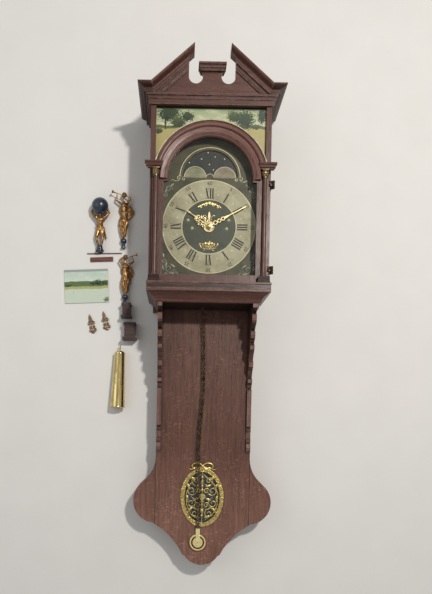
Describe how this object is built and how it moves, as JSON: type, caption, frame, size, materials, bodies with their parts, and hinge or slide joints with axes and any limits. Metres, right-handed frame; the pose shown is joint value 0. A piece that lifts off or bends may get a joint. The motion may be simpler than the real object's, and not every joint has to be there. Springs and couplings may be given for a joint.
{
  "type": "frisian tail clock",
  "caption": "Weight-driven wall clock with an arched moon dial, sliding hood and flared tail, lying on its back beside its taken-off figures, weight and ornaments.",
  "frame": {"origin": "on the axis of the hands, on the rear face of the back board", "axes": "+X to the clock's right as seen from the front, +Y up the clock, +Z out of the dial"},
  "size_m": [0.604, 1.3743, 0.2071],
  "materials": {
    "case_wood": "satin",
    "hood_wood": "satin",
    "plain_wood": "matte",
    "loose_wood": "matte",
    "iron": "matte",
    "gilt": "satin",
    "brass": "satin",
    "steel": "satin",
    "bell_metal": "satin",
    "dial_paint": "satin",
    "moon_paint": "satin",
    "panel_paint": "satin",
    "clear_glass": "gloss",
    "dark_glass": "gloss",
    "painted_glass": "gloss",
    "figure_gilt": "satin"
  },
  "bodies": {
    "case": {"back_board": "case_wood", "trunk_sides": "case_wood", "trunk_front_board": "case_wood", "tail_ears": "case_wood", "tail_rims": "case_wood", "consoles": "case_wood", "seat_shelf": "case_wood", "shelf_moulding": "case_wood", "hanging_plate": "iron", "window_grille": "gilt", "window_glass": "dark_glass", "movement_seat": "plain_wood", "movement_plates": "brass", "movement_pillars": "brass", "bell": "bell_metal", "dial_plate": "dial_paint", "chain": "iron"},
    "hood": {"hood_sides": "hood_wood", "hood_top_board": "hood_wood", "hood_front_frame": "hood_wood", "hood_base_fillet": "hood_wood", "entablature": "hood_wood", "cornice_returns": "hood_wood", "raking_cornices": "hood_wood", "pediment_board": "hood_wood", "spandrel_panel": "panel_paint", "hood_hinge_pins": "brass"},
    "door": {"door_frame": "hood_wood", "door_arch_moulding": "hood_wood", "door_columns": "hood_wood", "column_capitals": "gilt", "door_blocks": "hood_wood", "door_glass": "clear_glass", "door_hinges": "brass"},
    "great_arbor": {"great_wheel": "brass"},
    "centre": {"centre_arbor": "brass", "minute_hand": "brass"},
    "third": {"third_arbor": "brass"},
    "escape": {"escape_arbor": "brass"},
    "anchor_arbor": {"anchor": "steel"},
    "pendulum": {"pendulum_rod": "steel", "pendulum_bob": "brass"},
    "strike_great": {"strike_great_wheel": "brass"},
    "pin_arbor": {"strike_pin_wheel": "brass"},
    "fly": {"strike_fly": "brass"},
    "hammer_arbor": {"hammer": "steel"},
    "motion": {"minute_wheel": "brass"},
    "hour": {"hour_wheel": "brass", "hour_hand": "brass"},
    "moon": {"moon_disc": "moon_paint"},
    "alarm": {"alarm_disc": "brass"},
    "pulley_hanger": {"pulley_block": "brass"},
    "pulley": {"pulley_wheel": "steel"},
    "weight_body": {"weight": "brass"},
    "globe_figure": {"globe_bearer": "figure_gilt"},
    "left_figure": {"trumpeter_left": "figure_gilt"},
    "right_figure": {"trumpeter_right": "figure_gilt"},
    "plinths": {"loose_plinths": "loose_wood"},
    "pane": {"glass_panel": "painted_glass"},
    "ornaments": {"scroll_ornaments": "gilt"}
  },
  "joints": [
    {"name": "hood_slide", "type": "slide", "parent": "case", "child": "hood", "axis": [0, 0, 1], "range_m": [0, 0.2]},
    {"name": "door_hinge", "type": "hinge", "parent": "hood", "child": "door", "pos_m": [0.164, -0.118, 0.188], "axis": [0, 1, 0], "range_deg": [0, 110]},
    {"name": "centre_spin", "type": "hinge", "parent": "case", "child": "centre", "pos_m": [0, 0, 0], "axis": [0, 0, -1], "continuous": true},
    {"name": "great_spin", "type": "hinge", "parent": "case", "child": "great_arbor", "pos_m": [0, -0.04, 0], "axis": [0, 0, -1], "continuous": true},
    {"name": "third_spin", "type": "hinge", "parent": "case", "child": "third", "pos_m": [0.02, 0.02498, 0], "axis": [0, 0, -1], "continuous": true},
    {"name": "escape_spin", "type": "hinge", "parent": "case", "child": "escape", "pos_m": [0, 0.03788, 0], "axis": [0, 0, -1], "continuous": true},
    {"name": "minute_wheel_spin", "type": "hinge", "parent": "case", "child": "motion", "pos_m": [-0.02728, -0.01575, 0], "axis": [0, 0, -1], "continuous": true},
    {"name": "hour_spin", "type": "hinge", "parent": "case", "child": "hour", "pos_m": [0, 0, 0], "axis": [0, 0, -1], "continuous": true},
    {"name": "moon_spin", "type": "hinge", "parent": "case", "child": "moon", "pos_m": [0, 0.129, 0], "axis": [0, 0, -1], "continuous": true},
    {"name": "alarm_set", "type": "hinge", "parent": "hour", "child": "alarm", "pos_m": [0, 0, 0], "axis": [0, 0, -1], "continuous": true},
    {"name": "pendulum_swing", "type": "hinge", "parent": "case", "child": "pendulum", "pos_m": [0, 0.05788, 0], "axis": [0, 0, 1], "range_deg": [-3.5, 3.5]},
    {"name": "anchor_swing", "type": "hinge", "parent": "case", "child": "anchor_arbor", "pos_m": [0, 0.05788, 0], "axis": [0, 0, 1], "range_deg": [-3.5, 3.5]},
    {"name": "strike_great_spin", "type": "hinge", "parent": "case", "child": "strike_great", "pos_m": [0, -0.04, 0], "axis": [0, 0, -1], "continuous": true},
    {"name": "pin_wheel_spin", "type": "hinge", "parent": "case", "child": "pin_arbor", "pos_m": [0, 0, 0], "axis": [0, 0, -1], "continuous": true},
    {"name": "fly_spin", "type": "hinge", "parent": "case", "child": "fly", "pos_m": [-0.01683, 0.01683, 0], "axis": [0, 0, -1], "continuous": true},
    {"name": "hammer_lift", "type": "hinge", "parent": "case", "child": "hammer_arbor", "pos_m": [-0.066, 0, 0], "axis": [0, 0, 1], "range_deg": [0, 10]},
    {"name": "pulley_lift", "type": "slide", "parent": "case", "child": "pulley_hanger", "axis": [0, 0, 1], "range_m": [0, 0.15]},
    {"name": "pulley_spin", "type": "hinge", "parent": "pulley_hanger", "child": "pulley", "pos_m": [-0.01, -0.851, 0], "axis": [0, 0, 1], "continuous": true},
    {"name": "weight_lift", "type": "slide", "parent": "case", "child": "weight_body", "axis": [0, 0, 1], "range_m": [0, 0.15]},
    {"name": "globe_figure_lift", "type": "slide", "parent": "case", "child": "globe_figure", "axis": [0, 0, 1], "range_m": [0, 0.15]},
    {"name": "left_figure_lift", "type": "slide", "parent": "case", "child": "left_figure", "axis": [0, 0, 1], "range_m": [0, 0.15]},
    {"name": "right_figure_lift", "type": "slide", "parent": "case", "child": "right_figure", "axis": [0, 0, 1], "range_m": [0, 0.15]},
    {"name": "plinths_lift", "type": "slide", "parent": "case", "child": "plinths", "axis": [0, 0, 1], "range_m": [0, 0.15]},
    {"name": "pane_lift", "type": "slide", "parent": "case", "child": "pane", "axis": [0, 0, 1], "range_m": [0, 0.15]},
    {"name": "ornaments_lift", "type": "slide", "parent": "case", "child": "ornaments", "axis": [0, 0, 1], "range_m": [0, 0.15]}
  ],
  "couplings": [
    {"joint": "great_spin", "follows": "centre_spin", "ratio": -0.11111},
    {"joint": "third_spin", "follows": "centre_spin", "ratio": -9},
    {"joint": "escape_spin", "follows": "centre_spin", "ratio": 67.5},
    {"joint": "minute_wheel_spin", "follows": "centre_spin", "ratio": -0.5},
    {"joint": "hour_spin", "follows": "centre_spin", "ratio": 0.083333},
    {"joint": "moon_spin", "follows": "centre_spin", "ratio": 0.00070621},
    {"joint": "anchor_swing", "follows": "pendulum_swing", "ratio": 1},
    {"joint": "pin_wheel_spin", "follows": "strike_great_spin", "ratio": -9},
    {"joint": "fly_spin", "follows": "strike_great_spin", "ratio": 67.5}
  ]
}
